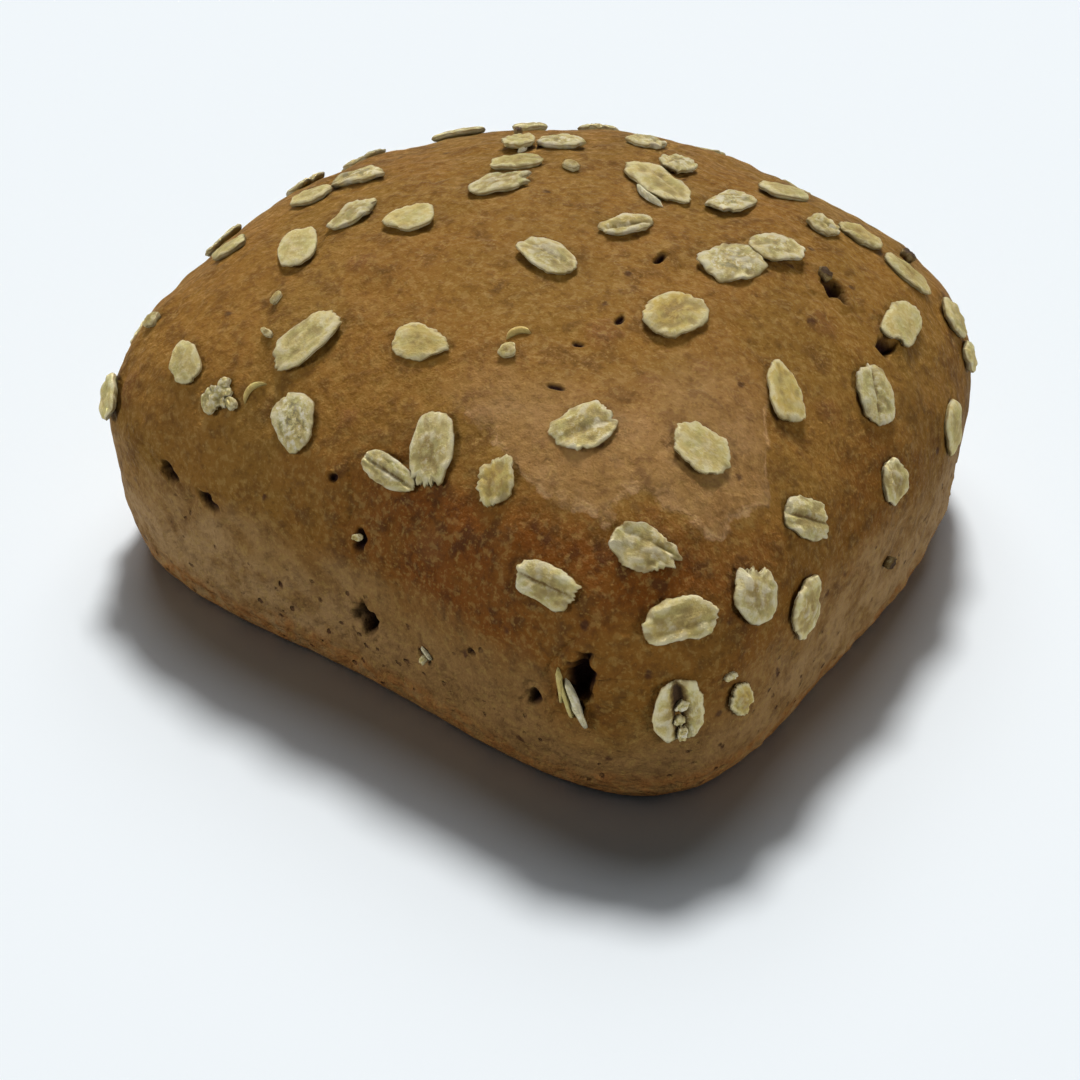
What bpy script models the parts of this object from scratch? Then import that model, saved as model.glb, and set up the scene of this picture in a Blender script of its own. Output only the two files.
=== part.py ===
"""A wholegrain bread roll: one soft-cornered, domed piece with rolled oat flakes baked onto its crust.

Metres, +Z up, origin at the middle of the flat base. A place on the crust is given by its bearing, in
degrees round the roll from +X towards +Y, and by its rise, in degrees up from the waist: 90 is the top of
the dome, 0 the widest part, and FOOT_RISE the line where the wall has turned under onto the base.
"""

import math
import random

import bmesh
import bpy
from mathutils import Vector, noise
from mathutils.bvhtree import BVHTree

MM = 0.001

# The roll
HALF_LENGTH = 46.0 * MM
HALF_WIDTH = 45.5 * MM
HEIGHT = 46.0 * MM
WAIST_HEIGHT = 19.0 * MM
FOOT_RISE = -40.0
FOOT_SHARE = 0.885
DOME_POWER = 2.1
UNDERSIDE_POWER = 2.4
CORNER_POWER = 4.7
CORNER_HOLD = 1.6
CORNER_FADE = 0.9
SIDE_TAPER_X = -0.066
SIDE_TAPER_Y = 0.088
TOP_SHIFT = 0.5 * MM

# Waves round the outline: how many, their share of the radius, the bearing phase in degrees
OUTLINE_WAVES = ((2, 0.032, -14.0), (3, 0.023, -109.0), (4, 0.032, 22.0), (5, 0.020, 105.0))

# Lumps of the crust: how wide and how high
CRUST_LUMPS = ((24.0 * MM, 0.45 * MM), (9.0 * MM, 0.35 * MM))
LUMP_FADE_HEIGHT = 5.0 * MM
CELLS_PER_SIDE = 20

# Flakes of oat: how far they stand out of the crust and reach into it
FLAKE_SIDES = 8
FLAKE_PROUD = 0.85 * MM
FLAKE_SUNK = 0.9 * MM
FLAKE_CROWN = 0.25 * MM
FLAKE_UNEVEN = 0.07

# Each flake on the shown side: bearing, rise, turn of its long axis from level, length and width in mm
SHOWN_FLAKES = (
    # left wall and shoulder
    (232.0, 28.0, -20.0, 6.4, 4.2), (254.0, 28.0, -52.0, 7.2, 5.8), (245.0, 44.0, 75.0, 9.0, 4.9),
    (216.0, 53.0, -3.0, 8.4, 5.0), (206.5, 61.0, -41.0, 7.0, 4.0), (205.0, 38.5, -57.0, 5.0, 3.8),
    (189.5, 49.5, -66.0, 5.6, 4.4), (180.0, 55.0, -69.0, 7.0, 4.6), (223.0, 8.0, -35.0, 6.0, 4.6),
    (241.0, 26.5, -20.0, 4.4, 3.4),
    # top of the dome
    (173.0, 80.5, -21.0, 8.0, 4.8), (144.0, 74.0, 5.0, 6.4, 4.2), (121.0, 65.5, -7.0, 6.4, 4.8),
    (135.0, 65.0, 34.0, 4.8, 3.6), (217.0, 69.5, 6.0, 6.4, 5.6), (294.5, 77.0, -26.0, 8.2, 4.8),
    (2.5, 80.0, -34.0, 7.0, 3.8), (64.0, 72.0, 3.0, 11.0, 5.2), (94.0, 60.0, -8.0, 5.4, 4.6),
    (75.0, 65.0, 11.0, 4.8, 4.6), (267.0, 52.0, 10.0, 7.2, 4.8), (335.0, 62.0, 4.0, 8.4, 6.4),
    # right shoulder
    (44.0, 63.5, -66.0, 8.4, 4.4), (56.0, 50.0, 76.0, 6.8, 4.8), (39.0, 49.5, 57.0, 4.6, 4.0),
    (40.0, 42.0, 82.0, 6.0, 4.4), (7.0, 63.5, -34.0, 9.4, 6.2), (21.5, 57.5, -51.0, 6.6, 5.6),
    (33.5, 34.0, 70.0, 7.4, 4.6), (18.5, 33.0, -45.0, 8.6, 5.4), (2.0, 29.0, 51.0, 7.6, 6.2),
    (345.0, 41.5, 47.0, 8.8, 4.4), (324.0, 41.0, -67.0, 7.2, 6.2),
    # right wall
    (32.5, 19.0, 33.0, 5.4, 4.8), (30.0, 9.5, -68.0, 4.0, 3.8), (16.5, 5.5, 88.0, 7.0, 4.8),
    (357.0, 11.5, 84.0, 5.4, 5.0), (337.0, 20.5, -40.0, 7.2, 4.8), (325.0, 15.0, 69.0, 6.8, 6.0),
    (333.5, 3.0, -87.0, 7.0, 6.4),
    # front corner
    (280.0, 34.0, -64.0, 9.8, 5.4), (273.5, 26.5, -6.0, 8.0, 3.6), (292.0, 34.0, -66.0, 5.8, 4.5),
    (306.0, 47.0, 32.0, 7.6, 6.0), (312.5, 28.0, -29.0, 8.6, 5.4), (300.0, 19.0, -6.0, 8.0, 4.4),
    (315.0, 15.5, 8.0, 9.2, 4.8), (314.5, -2.0, -85.0, 9.0, 5.6), (322.5, -3.5, -64.0, 5.4, 3.4),
)

# The side turned away carries flakes as thickly, each clear of its neighbours
HIDDEN_SEED = 11
HIDDEN_FLAKES = 25
HIDDEN_BEARINGS = (45.0, 215.0)
HIDDEN_HORIZON = 46.0
HIDDEN_LOWEST = -6.0
HIDDEN_GAP = 9.5 * MM
HIDDEN_TRIES = 3000

# Burst bubbles in the wall: bearing, rise, width and depth in mm
PITS = ((271.5, -7.5, 3.8, 2.2), (304.0, 2.5, 2.4, 1.4), (238.0, 2.5, 2.6, 1.4), (18.0, 48.0, 2.6, 1.6),
        (12.0, 34.5, 2.6, 1.8))
PIT_SIDES = 7

CRUST_COLOUR = (0.20, 0.105, 0.036, 1.0)
CRUST_ROUGHNESS = 0.82


def crust_point(bearing, rise):
    """The smooth crust's point at a bearing and a rise, both in degrees."""
    around = math.radians(bearing)
    if rise >= 0:
        climb = math.sin(math.radians(rise)) ** (2 / DOME_POWER)
        share = max(math.cos(math.radians(rise)), 0.0) ** (2 / DOME_POWER)
        height = WAIST_HEIGHT + (HEIGHT - WAIST_HEIGHT) * climb
    else:
        climb = 0.0
        quarter = min(rise / FOOT_RISE, 1.0) * math.pi / 2
        share = FOOT_SHARE + (1 - FOOT_SHARE) * max(math.cos(quarter), 0.0) ** (2 / UNDERSIDE_POWER)
        height = WAIST_HEIGHT * (1 - math.sin(quarter) ** (2 / UNDERSIDE_POWER))
        if rise < FOOT_RISE:
            share *= (90 + rise) / (90 + FOOT_RISE)
    power = 2 + (CORNER_POWER - 2) * (1 - climb ** CORNER_HOLD) ** CORNER_FADE
    along, across = math.cos(around), math.sin(around)
    waves = sum(amount * math.cos(count * around - math.radians(phase)) for count, amount, phase in OUTLINE_WAVES)
    radius = (abs(along) ** power + abs(across) ** power) ** (-1 / power) * (1 + waves)
    x = HALF_LENGTH * share * radius * along
    y = HALF_WIDTH * share * radius * across
    x, y = x * (1 + SIDE_TAPER_X * y / HALF_WIDTH), y * (1 + SIDE_TAPER_Y * x / HALF_LENGTH)
    return Vector((x + TOP_SHIFT * climb ** 2, y, height))


def lump_height(point):
    """How far the crust's lumps lift it at a point; none on the base."""
    fade = min(max(point.z / LUMP_FADE_HEIGHT, 0.0), 1.0)
    return fade * sum(high * noise.noise(point / wide) for wide, high in CRUST_LUMPS)


def material(name, colour, roughness):
    made = bpy.data.materials.new(name)
    made.use_nodes = True
    shader = made.node_tree.nodes["Principled BSDF"]
    shader.inputs["Base Color"].default_value = colour
    shader.inputs["Roughness"].default_value = roughness
    return made


def add_object(name, shape, collection):
    mesh = bpy.data.meshes.new(name)
    bmesh.ops.triangulate(shape, faces=shape.faces[:])
    shape.normal_update()
    shape.to_mesh(mesh)
    shape.free()
    made = bpy.data.objects.new(name, mesh)
    collection.objects.link(made)
    return made


def crust_shape():
    """A cube cut into cells and drawn out to the crust, each cell's direction giving bearing and rise."""
    shape = bmesh.new()
    bmesh.ops.create_cube(shape, size=2.0)
    bmesh.ops.subdivide_edges(shape, edges=shape.edges[:], cuts=CELLS_PER_SIDE - 1, use_grid_fill=True)
    for vertex in shape.verts:
        direction = Vector([math.tan(part * math.pi / 4) for part in vertex.co]).normalized()
        bearing = math.degrees(math.atan2(direction.y, direction.x))
        rise = math.degrees(math.asin(max(-1.0, min(1.0, direction.z))))
        vertex.co = crust_point(bearing, rise)
    shape.normal_update()
    lifts = [vertex.normal * lump_height(vertex.co) for vertex in shape.verts]
    for vertex, lift in zip(shape.verts, lifts):
        vertex.co += lift
    return shape


def tangent_frame(tree, bearing, rise):
    """The crust's point at a place, with its level direction, its uphill direction and its normal."""
    point, normal, _, _ = tree.find_nearest(crust_point(bearing, rise))
    step = 0.5
    level = crust_point(bearing + step, rise) - crust_point(bearing - step, rise)
    level = (level - normal * level.dot(normal)).normalized()
    return point, level, normal.cross(level), normal


def flake_shape(tree, draw, bearing, rise, turn, length, width):
    """A thin, faintly crowned oat flake that follows the crust, half sunk into it."""
    centre, level, uphill, normal = tangent_frame(tree, bearing, rise)
    angle = math.radians(turn)
    lengthwise = level * math.cos(angle) + uphill * math.sin(angle)
    widthwise = normal.cross(lengthwise)
    shape = bmesh.new()
    upper, lower = [], []
    for side in range(FLAKE_SIDES):
        step = 2 * math.pi * (side + 0.5) / FLAKE_SIDES
        reach = 1 + FLAKE_UNEVEN * draw.uniform(-1, 1)
        offset = lengthwise * (length / 2 * math.cos(step)) + widthwise * (width / 2 * math.sin(step))
        spot, facing, _, _ = tree.find_nearest(centre + offset * reach)
        upper.append(shape.verts.new(spot + facing * FLAKE_PROUD))
        lower.append(shape.verts.new(spot - facing * FLAKE_SUNK))
    crown = shape.verts.new(centre + normal * (FLAKE_PROUD + FLAKE_CROWN))
    root = shape.verts.new(centre - normal * (FLAKE_SUNK + FLAKE_CROWN))
    for side in range(FLAKE_SIDES):
        after = (side + 1) % FLAKE_SIDES
        shape.faces.new((crown, upper[side], upper[after]))
        shape.faces.new((root, lower[after], lower[side]))
        shape.faces.new((lower[side], lower[after], upper[after], upper[side]))
    return shape


def pit_shape(tree, bearing, rise, width, depth):
    """A small cone, point inwards, that cuts one burst bubble."""
    centre, level, uphill, normal = tangent_frame(tree, bearing, rise)
    shape = bmesh.new()
    tip = shape.verts.new(centre - normal * depth)
    middle = shape.verts.new(centre + normal * depth)
    rim = []
    for side in range(PIT_SIDES):
        step = 2 * math.pi * side / PIT_SIDES
        offset = (level * math.cos(step) + uphill * math.sin(step)) * width
        rim.append(shape.verts.new(centre + offset + normal * depth))
    for side in range(PIT_SIDES):
        after = (side + 1) % PIT_SIDES
        shape.faces.new((middle, rim[side], rim[after]))
        shape.faces.new((tip, rim[after], rim[side]))
    return shape


def hidden_flakes(draw):
    """Places and sizes for the side turned away, each drawn clear of every flake so far."""
    taken = [crust_point(bearing, rise) for bearing, rise, *_ in SHOWN_FLAKES]
    chosen = []
    for _ in range(HIDDEN_TRIES):
        bearing = draw.uniform(*HIDDEN_BEARINGS)
        top = HIDDEN_HORIZON * math.sin(math.radians(bearing - 40))
        rise = draw.uniform(HIDDEN_LOWEST, HIDDEN_HORIZON)
        spot = crust_point(bearing, rise)
        if rise < top and all((spot - other).length > HIDDEN_GAP for other in taken):
            taken.append(spot)
            length = draw.uniform(5.4, 8.8)
            chosen.append((bearing, rise, draw.uniform(-90, 90), length, length * draw.uniform(0.55, 0.8)))
        if len(chosen) == HIDDEN_FLAKES:
            break
    return chosen


def join_or_cut(crust, operation, pieces):
    """Applies one Boolean of a whole collection to the crust and removes the collection's objects."""
    change = crust.modifiers.new(operation.lower(), "BOOLEAN")
    change.operation = operation
    change.operand_type = "COLLECTION"
    change.collection = pieces
    change.solver = "MANIFOLD"
    bpy.context.view_layer.update()
    evaluated = crust.evaluated_get(bpy.context.evaluated_depsgraph_get())
    result = bpy.data.meshes.new_from_object(evaluated)
    crust.modifiers.remove(change)
    crust.data = result
    for piece in list(pieces.objects):
        bpy.data.objects.remove(piece)
    bpy.data.collections.remove(pieces)


def working_collection(name):
    made = bpy.data.collections.new(name)
    bpy.context.scene.collection.children.link(made)
    return made


def main():
    for old in list(bpy.data.objects):
        bpy.data.objects.remove(old)

    crust = add_object("bread_roll", crust_shape(), bpy.context.scene.collection)
    shape = bmesh.new()
    shape.from_mesh(crust.data)
    tree = BVHTree.FromBMesh(shape)
    shape.free()

    draw = random.Random(HIDDEN_SEED)
    flakes = working_collection("flakes")
    for number, place in enumerate(SHOWN_FLAKES + tuple(hidden_flakes(draw))):
        bearing, rise, turn, length, width = place
        shape = flake_shape(tree, draw, bearing, rise, turn, length * MM, width * MM)
        add_object(f"flake_{number:02d}", shape, flakes)
    join_or_cut(crust, "UNION", flakes)

    pits = working_collection("pits")
    for number, (bearing, rise, width, depth) in enumerate(PITS):
        add_object(f"pit_{number}", pit_shape(tree, bearing, rise, width * MM, depth * MM), pits)
    join_or_cut(crust, "DIFFERENCE", pits)

    crust.data.name = "bread_roll"
    crust.data.materials.clear()
    crust.data.materials.append(material("baked_crust", CRUST_COLOUR, CRUST_ROUGHNESS))
    crust.data.shade_smooth()
    crust.data.set_sharp_from_angle(angle=math.radians(35))


main()
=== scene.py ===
"""The looks of a wholegrain bread roll with rolled oat flakes baked onto its crust.

Metres, +Z up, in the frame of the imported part. A place on the crust is given by its bearing, in degrees
round the roll from +X towards +Y, and by its rise, in degrees up from the waist: 90 is the top of the
dome, 0 the widest part, and FOOT_RISE the line where the wall has turned under onto the base.
"""

import math
import random

import bmesh
import bpy
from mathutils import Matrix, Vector, noise
from mathutils.bvhtree import BVHTree


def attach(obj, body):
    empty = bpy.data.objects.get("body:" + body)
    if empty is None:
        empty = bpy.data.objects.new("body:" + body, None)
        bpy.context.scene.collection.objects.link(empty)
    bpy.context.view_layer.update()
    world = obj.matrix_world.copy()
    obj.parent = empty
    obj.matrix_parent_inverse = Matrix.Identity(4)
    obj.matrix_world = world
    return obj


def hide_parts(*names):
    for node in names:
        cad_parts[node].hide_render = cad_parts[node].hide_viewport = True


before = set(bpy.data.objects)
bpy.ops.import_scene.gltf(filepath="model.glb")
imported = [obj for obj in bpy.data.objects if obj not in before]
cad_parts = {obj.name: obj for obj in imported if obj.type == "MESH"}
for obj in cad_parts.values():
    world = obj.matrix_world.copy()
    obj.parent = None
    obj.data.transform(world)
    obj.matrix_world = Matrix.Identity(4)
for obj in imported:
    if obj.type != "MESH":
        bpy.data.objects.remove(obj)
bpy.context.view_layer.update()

MM = 0.001

# The roll, with the same values as its solid
HALF_LENGTH = 46.0 * MM
HALF_WIDTH = 45.5 * MM
HEIGHT = 46.0 * MM
WAIST_HEIGHT = 19.0 * MM
FOOT_RISE = -40.0
FOOT_SHARE = 0.885
DOME_POWER = 2.1
UNDERSIDE_POWER = 2.4
CORNER_POWER = 4.7
CORNER_HOLD = 1.6
CORNER_FADE = 0.9
SIDE_TAPER_X = -0.066
SIDE_TAPER_Y = 0.088
TOP_SHIFT = 0.5 * MM
OUTLINE_WAVES = ((2, 0.032, -14.0), (3, 0.023, -109.0), (4, 0.032, 22.0), (5, 0.020, 105.0))
CRUST_LUMPS = ((24.0 * MM, 0.45 * MM), (9.0 * MM, 0.35 * MM))
LUMP_FADE_HEIGHT = 5.0 * MM

# The crust's mesh: cells along each side of the cube that it is drawn from, and finer relief on it
CELLS_PER_SIDE = 104
TREE_CELLS_PER_SIDE = 40
FINE_LUMPS = ((4.5 * MM, 0.32 * MM), (2.0 * MM, 0.15 * MM))
# Faint creases that wander over the crust: spacing, depth, start, how far they bend and where the bends
# are drawn from, width, and where they are strong
WRINKLE_SPACING = 9.0 * MM
WRINKLE_DEPTH = 0.32 * MM
WRINKLE_START = Vector((3.0, 1.0, 7.0))
WRINKLE_BEND = 0.35
WRINKLE_BEND_FROM = (Vector((31.0, 0.0, 0.0)), Vector((0.0, 47.0, 0.0)), Vector((0.0, 0.0, 59.0)))
WRINKLE_WIDTH = 0.05
WRINKLE_PATCHES = (-0.1, 0.3)

# Zones of colour, by rise: the dark band over the waist and the pale wall under it. At the front and on
# the right, which face away from the key light, the band is strong, and there it is partly darker crust
# and partly painted shade
BAND_TOP = 21.0
BAND_SOFTNESS = 8.0
SIDE_BAND = 0.12
RIGHT_BAND = 0.55
RIGHT_BEARING = 352.0
RIGHT_HALF_WIDTH = 20.0
FRONT_BEARING = 298.0
FRONT_HALF_WIDTH = 34.0
FRONT_BAND_RISE = 10.0
WALL_TOP = -1.0
WALL_SOFTNESS = 7.0
FOOT_BAND_RISES = (-21.5, -15.5)
FOOT_WANDER = 0.5
# The front corner: where it is, how far the wall's edge drops on it and how much of the band it loses
CORNER_BEARING = 312.0
CORNER_HALF_WIDTH = 16.0
CORNER_DROP = 7.0
CORNER_PALING = 0.65
CORNER_PALE_RISES = (12.0, 24.0)
# How the zones' edges wander: size of the waves, and their reach in degrees of rise
ZONE_WANDERS = ((11.0 * MM, 6.0), (4.0 * MM, 4.0))
# The smooth skin on the front of the dome: its lower edge as bearings and rises, how far and how finely
# that wanders, and where the skin fades out above and to the sides
SKIN_EDGE = (
    (255.0, 48.0), (283.0, 44.0), (291.0, 41.0), (296.0, 37.0), (303.0, 34.4), (307.5, 33.0),
    (310.5, 37.5), (315.0, 36.0), (320.5, 28.0), (326.0, 28.4), (331.5, 28.6), (335.5, 35.4),
    (340.0, 41.0), (360.0, 48.0),
)
SKIN_EDGE_WANDER = 2.6
SKIN_EDGE_GRAIN = 2.5 * MM
SKIN_EDGE_REACH = 4.0
SKIN_FADE = (44.0, 60.0)
SKIN_BEARING = 311.0
SKIN_SIDE_FADE = (21.0, 38.0)
SKIN_STEP = 0.20 * MM
# The ragged foot: width and height of its crumbs
FOOT_CRUMBS = (1.9 * MM, 0.5 * MM)

# Holes: bearing, rise, turn of the long axis from level, length, width and depth in mm
HOLES = (
    (271.5, -7.0, -60.0, 5.0, 4.0, 3.2), (238.0, 2.8, -25.0, 4.0, 2.4, 2.2),
    (244.5, 0.6, -35.0, 3.6, 2.0, 1.3), (303.7, 0.2, 78.0, 7.6, 3.8, 2.8),
    (298.6, -4.6, 20.0, 2.4, 2.0, 1.6), (302.0, -2.0, 60.0, 2.6, 1.8, 1.2),
    (270.5, 8.5, 80.0, 3.4, 1.8, 1.4), (282.0, -8.2, 75.0, 2.8, 1.9, 1.3),
    (16.6, 47.8, 70.0, 4.6, 2.6, 2.2), (12.0, 34.0, -20.0, 3.8, 2.8, 2.0),
    (351.5, 72.3, 10.0, 2.8, 1.1, 0.9), (319.4, 64.6, 40.0, 2.8, 1.0, 0.6),
    (306.2, 61.1, -30.0, 2.2, 1.0, 0.5), (264.0, 20.0, 30.0, 1.6, 1.3, 0.8),
    (290.0, -2.0, 20.0, 1.5, 1.1, 0.7), (300.5, 53.0, -5.0, 2.6, 0.8, 0.4),
)
# Small holes on the side turned away: ranges of bearing, rise, length in mm and narrowness, and depth as a
# share of the length
FAR_HOLE_SEED = 5
FAR_HOLE_COUNT = 14
FAR_HOLE_BEARINGS = (20.0, 225.0)
FAR_HOLE_RISES = (-16.0, 6.0)
FAR_HOLE_LENGTHS = (1.2, 2.6)
FAR_HOLE_NARROWNESS = (0.5, 0.9)
FAR_HOLE_DEPTH = 0.5
# A hole's profile, in shares of its half width: where its wall runs, its painted shade fades and its lip
# stands, with how far from it the crust can change: times its half length, plus a margin
HOLE_RAGGED = 0.42
HOLE_GRAIN = 1.0 * MM
HOLE_WALL = (0.30, 1.03)
HOLE_SHADE = (0.55, 1.0)
HOLE_LIP_AT = 1.2
HOLE_LIP_WIDTH = 0.2
HOLE_LIP_HEIGHT = 0.1 * MM
HOLE_REACH = (2.2, 1.0 * MM)
# The crust's cells are halved this close to each hole: times its half length, plus a margin
REFINED_TIMES = (1.5, 1.15)
REFINED_MARGIN = 1.1 * MM
# Low reddish blisters: bearing, rise and width in mm
BLISTERS = (
    (5.0, 46.1, 4.8), (313.5, 62.5, 5.2), (333.0, 52.5, 3.0), (320.0, 53.5, 3.2), (262.0, 33.0, 3.0),
    (286.0, 44.5, 3.2), (226.0, 14.0, 5.0), (352.0, 33.0, 4.0), (283.0, 16.0, 5.0), (232.0, 60.0, 4.0),
)
BLISTER_HEIGHT = 0.28 * MM
BLISTER_RAGGED = 0.35
BLISTER_GRAIN = 1.6 * MM
BLISTER_EDGE = (0.45, 1.1)

# Each flake on the shown side: bearing, rise, turn of its long axis from level, length and width in mm,
# and look
SHOWN_FLAKES = (
    # left wall and shoulder
    (232.0, 28.0, -20.0, 6.4, 4.2, "smooth"), (254.0, 28.0, -52.0, 7.2, 5.8, "plump"),
    (245.0, 44.0, 75.0, 9.0, 4.9, "straight"), (216.0, 53.0, -3.0, 8.4, 5.0, "smooth"),
    (206.5, 61.0, 139.0, 7.0, 4.0, "tattered"), (205.0, 38.5, -57.0, 5.0, 3.8, "smooth"),
    (189.5, 49.5, -66.0, 5.6, 4.4, "smooth"), (180.0, 55.0, -69.0, 7.0, 4.6, "mottled"),
    (223.0, 8.0, -35.0, 6.0, 4.6, "lifted"), (241.0, 26.5, -20.0, 4.4, 3.4, "frayed"),
    # top of the dome
    (173.0, 80.5, 159.0, 8.0, 4.8, "tattered"), (144.0, 74.0, 5.0, 6.4, 4.2, "tan"),
    (121.0, 65.5, -7.0, 6.4, 4.8, "mottled"), (135.0, 65.0, 34.0, 4.8, 3.6, "lifted"),
    (217.0, 69.5, 96.0, 6.4, 5.6, "nicked"), (294.5, 77.0, -26.0, 8.2, 4.8, "rimmed"),
    (2.5, 80.0, -34.0, 7.0, 3.8, "folded"), (64.0, 72.5, 3.0, 12.0, 5.6, "ridged"),
    (94.0, 60.0, -8.0, 5.4, 4.6, "mottled"), (75.0, 65.0, 11.0, 4.8, 4.6, "mottled"),
    (267.0, 52.0, 10.0, 7.2, 4.8, "leaf"), (335.0, 62.0, 4.0, 8.4, 6.4, "toasted"),
    # right shoulder
    (44.0, 63.5, -66.0, 8.4, 4.4, "mottled"), (56.0, 50.0, 76.0, 6.8, 4.8, "smooth"),
    (39.0, 49.5, 57.0, 4.6, 4.0, "folded"), (40.0, 42.0, 82.0, 6.0, 4.4, "tan"),
    (7.0, 63.5, -34.0, 9.6, 6.2, "mottled"), (19.0, 59.0, -51.0, 7.4, 5.4, "over"),
    (33.5, 34.0, 70.0, 7.4, 4.6, "tan"), (18.8, 33.4, -8.0, 9.6, 4.9, "notched"),
    (2.0, 29.0, 51.0, 7.6, 6.2, "creased"), (345.0, 41.5, 47.0, 8.8, 4.4, "yellow"),
    (324.0, 41.0, -67.0, 7.2, 6.2, "plain"),
    # right wall
    (32.5, 19.0, 33.0, 5.4, 4.8, "smooth"), (30.0, 9.5, -68.0, 4.0, 3.8, "smooth"),
    (16.5, 5.5, 88.0, 7.0, 4.8, "smooth"), (357.0, 11.5, 84.0, 5.4, 5.0, "eyed"),
    (337.0, 20.5, -40.0, 7.2, 4.8, "broken"), (325.0, 15.0, 69.0, 6.8, 6.0, "tattered"),
    (333.5, 3.0, -87.0, 7.0, 6.4, "tailed"),
    # front corner
    (280.0, 34.0, -64.0, 9.8, 5.4, "tattered"), (273.5, 26.5, -6.0, 8.0, 3.6, "creased"),
    (292.0, 34.0, -66.0, 5.8, 4.5, "scrap"), (306.0, 47.0, 32.0, 7.6, 6.0, "folded"),
    (312.5, 28.0, -29.0, 8.6, 5.4, "curled"), (300.0, 19.0, -6.0, 8.0, 4.4, "broken"),
    (315.0, 15.5, 8.0, 9.2, 4.8, "ridged"), (314.5, -2.0, -85.0, 9.0, 5.6, "bean"),
    (322.5, -3.5, -64.0, 5.4, 3.4, "scrap"),
)

# The side turned away carries flakes as thickly, each clear of its neighbours. The rise that they stay
# under grows from 0 at HIDDEN_START to HIDDEN_HORIZON a quarter turn on
HIDDEN_SEED = 11
HIDDEN_FLAKES = 25
HIDDEN_BEARINGS = (45.0, 215.0)
HIDDEN_START = 40.0
HIDDEN_HORIZON = 46.0
HIDDEN_LOWEST = -6.0
HIDDEN_GAP = 9.5 * MM
HIDDEN_TRIES = 3000
HIDDEN_LENGTHS = (5.4, 8.8)
HIDDEN_NARROWNESS = (0.55, 0.8)
HIDDEN_LOOKS = (
    "smooth", "mottled", "creased", "straight", "rimmed", "tattered", "plain", "eyed", "ridged", "toasted",
    "broken", "folded",
)

# A plain flake, in mm and in shares of its half length and half width; each look names what differs
FLAKE = {
    "power": 2.3,          # outline: 2 an oval, more with straighter sides
    "egg": 0.0,            # how much wider the far end is
    "thick": 0.62,
    "stand": 0.50,         # height of the middle of its thickness over the crust
    "crown": 0.20,
    "crease": 0.0,         # depth of the lengthwise crease
    "crease_at": 0.0,
    "crease_wide": 0.15,
    "lift": 0.12,          # how far the rim rises
    "lift_side": -0.6,     # which side rises: -1 the near one, +1 the far one
    "torn": 0.0,           # how deep the far end is torn
    "uneven": 0.07,
    "crimp": 0.07,         # how much the rim is crimped, and how much more at the far end
    "end_crimp": 0.0,
    "wrinkle": 0.14,
    "notch": 0.0,          # depth of one bite out of the rim
    "notch_at": 0.0,       # its direction, in degrees from the far end
    "roll": 0.0,           # how far the near end rolls up
    "brown": 0.25,
    "white": 0.25,
    "yellow": 0.35,
    # How dark the crease is painted: painted shade in its groove
    "dark_crease": 0.5,
}
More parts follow.
